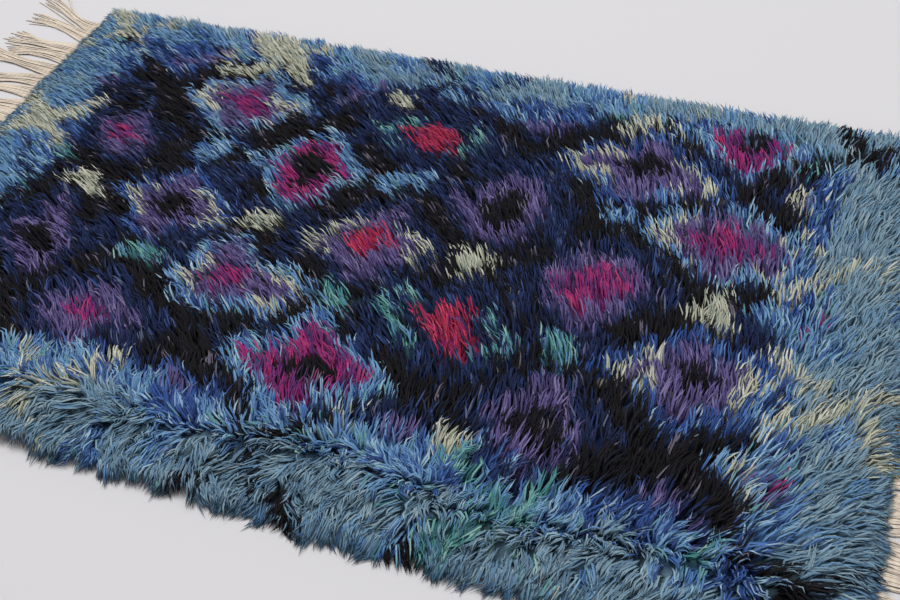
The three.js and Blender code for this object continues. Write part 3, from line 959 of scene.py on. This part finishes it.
# One end's cords. A cord's way is a straight line from its place in the band, drawn towards its
# bunch's middle by a smooth step and let out again at the tip, with a slow bend of its own
def makeFringe(name, end, s, random):
    bunch = np.repeat(np.arange(s["bunches"]), s["perBunch"])
    total = len(bunch)
    byBunch = lambda spread: random.normal(0, spread, s["bunches"])[bunch][:, None]
    byCord = lambda spread: random.normal(0, spread, total)[:, None]
    pitch = 2 * (s["bandHalf"] - s["bandMargin"]) / s["bunches"]
    middle = (s["bandMargin"] - s["bandHalf"] + pitch * (bunch + 0.5))[:, None]
    inBunch = (np.arange(s["perBunch"]) - (s["perBunch"] - 1) / 2) / s["perBunch"]
    fromMiddle = (np.tile(inBunch, s["bunches"]) * pitch)[:, None]
    root = middle + fromMiddle + byCord(s["rootSpread"])
    longer, own = s["lengthSpread"]
    long = s["length"] * (1 + byBunch(longer) + byCord(own))
    t = np.linspace(0, 1, s["steps"])[None]
    drawn = smooth(t, *s["closes"]) * (1 - s["opened"] * smooth(t, *s["opens"]))
    midway, byTip = s["bow"]
    bow = byBunch(midway) * np.sin(math.pi * t) + byBunch(byTip) * smooth(t, 0.1, 1)
    lean = s["splay"] * np.sign(middle) * smooth(np.abs(middle), *s["splayFrom"])
    bow = bow + lean * smooth(t, 0, 1)
    wave = byCord(s["wave"]) * np.sin(t * s["waveRate"] + random.uniform(0, 6, total)[:, None]) * t
    tip = byCord(s["tipSpread"]) * smooth(t, *s["opens"])
    y = root - fromMiddle * s["gather"] * drawn + bow + wave + tip
    x = end * (s["bandStart"] + s["bandDepth"] - s["inBand"] + (long + s["inBand"]) * t)
    thinner = 1 - s["tipThinner"] * smooth(t, 0.82, 1.0)
    radius = s["radius"] * (1 + byCord(s["radiusSpread"])) * thinner
    # cords of a bunch lie in layers where it is narrow
    layers = np.tile(np.arange(s["perBunch"]) % s["layers"], (s["bunches"], 1))
    layer = random.permuted(layers, axis=1).ravel()[:, None]
    piled = smooth(t, 0.04, 0.3) * (1 - 0.85 * smooth(t, 0.7, 1))
    z = radius + s["floorGap"] + s["layerHeight"] * layer * piled
    vertices = ringsRound(np.stack([x, y, z], 2), radius)
    quads, places = tubeQuads(s["steps"])
    each = sides * s["steps"]
    last = each - sides
    caps = [[2, 1, 0], [last, last + 1, last + 2]]
    capPlaces = [(0, -0.4), (1, -0.4), (1, -0.1)]
    capPlaces += [(c, s["steps"] - 0.9 + 0.1 * c) for c in range(sides)]

    # the woven band, a flat bar of six faces
    x0, x1 = sorted((end * s["bandStart"], end * (s["bandStart"] + s["bandDepth"])))
    bar = np.array([[x, y, z] for z in (s["floorGap"], s["bandHeight"])
                    for y in (-s["bandHalf"], s["bandHalf"]) for x in (x0, x1)])
    barFaces = np.array([[0, 2, 3, 1], [4, 5, 7, 6], [0, 1, 5, 4],
                         [2, 6, 7, 3], [0, 4, 6, 2], [1, 3, 7, 5]])
    piece = meshObject(name, np.concatenate([vertices.reshape(-1, 3), bar]),
                       [onEach(quads, total, each), onEach(caps, total, each),
                        barFaces + total * each])
    spun = []
    for corners in (places, capPlaces):
        place = np.array(corners, float)[None]
        spun.append(inCentimetres(place[:, :, 0], place[:, :, 1] / s["steps"] * long))
    barMap = np.tile([[0, 0], [0.1, 0], [0.1, 0.1], [0, 0.1]], (len(barFaces), 1))
    addMap(piece, "yarnMap", np.concatenate([*spun, barMap]))
    ofCord, alongIt = s["uneven"]
    tone = np.exp(byCord(ofCord))[:, :, None] * np.array(linearColour(s["cordColour"]))
    tone = tone * (1 + alongIt * random.normal(0, 1, (total, s["steps"]))[:, :, None])
    cords = np.repeat(tone, sides, axis=1).reshape(-1, 3)
    band = np.tile(linearColour(s["bandColour"]), (len(bar), 1))
    addColours(piece, np.concatenate([cords, band]))
    return piece


# Three-ply linen warp: hard and smooth beside the wool, with a visible twist. The plies turn
# once in 6 mm, drawn at about 12 mm so that they show
def warpMaterial():
    material, tree, shader = newMaterial("twistedLinenWarp")
    pliedFace(tree, shader, stretch=1.0, waver=0.4, shades=(0.93, 1.04), lean=1.7, relief=0.35)
    setSockets(tree, shader, Roughness=0.8, Specular_IOR_Level=0.3)
    return material


warpYarn = warpMaterial()
for name, end, node in (("fringeLeft", -1, "fringe_left"), ("fringeRight", 1, "fringe_right")):
    piece = makeFringe(name, end, fringeSettings, random)
    piece.data.materials.append(warpYarn)
    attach(piece, "root")
    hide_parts(node)
print("fringes made")


# The woven ground: a firm warp-faced weave, seen only from below
weaveSettings = {
    "halfLength": 0.9635,
    "halfWidth": 0.593,
    "bottom": 0.0002,
    "top": 0.0026,
    "selvedge": 0.004,        # how far its sides draw in, in slow waves
    "stepsX": 30,
    "stepsY": 20,
}


# Two grids of the same outline, one above the other, joined by a wall round their rims
def makeWeave(s):
    x, y, upper, rim = makeGrid(s)
    y = y * (1 - s["selvedge"] * (1 + np.sin(x * 9 + y / s["halfWidth"])) / 2)
    low = np.stack([x, y, np.full_like(x, s["bottom"])], 2).reshape(-1, 3)
    high = np.stack([x, y, np.full_like(x, s["top"])], 2).reshape(-1, 3)
    lower = upper[:, ::-1] + x.size
    wall = np.stack([rim, rim + x.size, np.roll(rim, -1) + x.size, np.roll(rim, -1)], 1)
    return meshObject("groundWeave", np.concatenate([high, low]), [upper, lower, wall], False)


# Linen warp and wool weft: ribs along the rug, with the knots' loops in rows across it
def weaveMaterial():
    material, tree, shader = newMaterial("wovenRyaGround")
    place = addNode(tree, "ShaderNodeTexCoord")
    # ribs 3 mm apart
    ribs = addNode(tree, "ShaderNodeTexWave", {"bands_direction": "Y"},
                   Vector=(place, "Object"), Scale=105.0)
    # the backs of the knots in rows 21 mm apart
    rows = addNode(tree, "ShaderNodeTexWave", {"bands_direction": "X"},
                   Vector=(place, "Object"), Scale=15.0)
    knots = addNode(tree, "ShaderNodeMapRange", Value=(rows, "Fac"), From_Min=0.72, From_Max=0.9)
    colour = addNode(tree, "ShaderNodeMix", {"data_type": "RGBA"}, i0=(knots, "Result"),
                     i6=linearColour("#b5a88f") + [1], i7=linearColour("#3d4f78") + [1])
    relief = addNode(tree, "ShaderNodeMath", {"operation": "ADD"},
                     i0=(ribs, "Fac"), i1=(knots, "Result"))
    bump = addNode(tree, "ShaderNodeBump", Strength=0.6, Distance=0.0012, Height=(relief, "Value"))
    setSockets(tree, shader, Base_Color=(colour, 2), Normal=(bump, "Normal"),
               Roughness=0.9, Specular_IOR_Level=0.2)
    return material


ground = makeWeave(weaveSettings)
ground.data.materials.append(weaveMaterial())
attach(ground, "root")
print("woven ground made")

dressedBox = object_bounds()
({"cad": [list(corner) for corner in cadBox],
           "visual": [list(corner) for corner in dressedBox]})
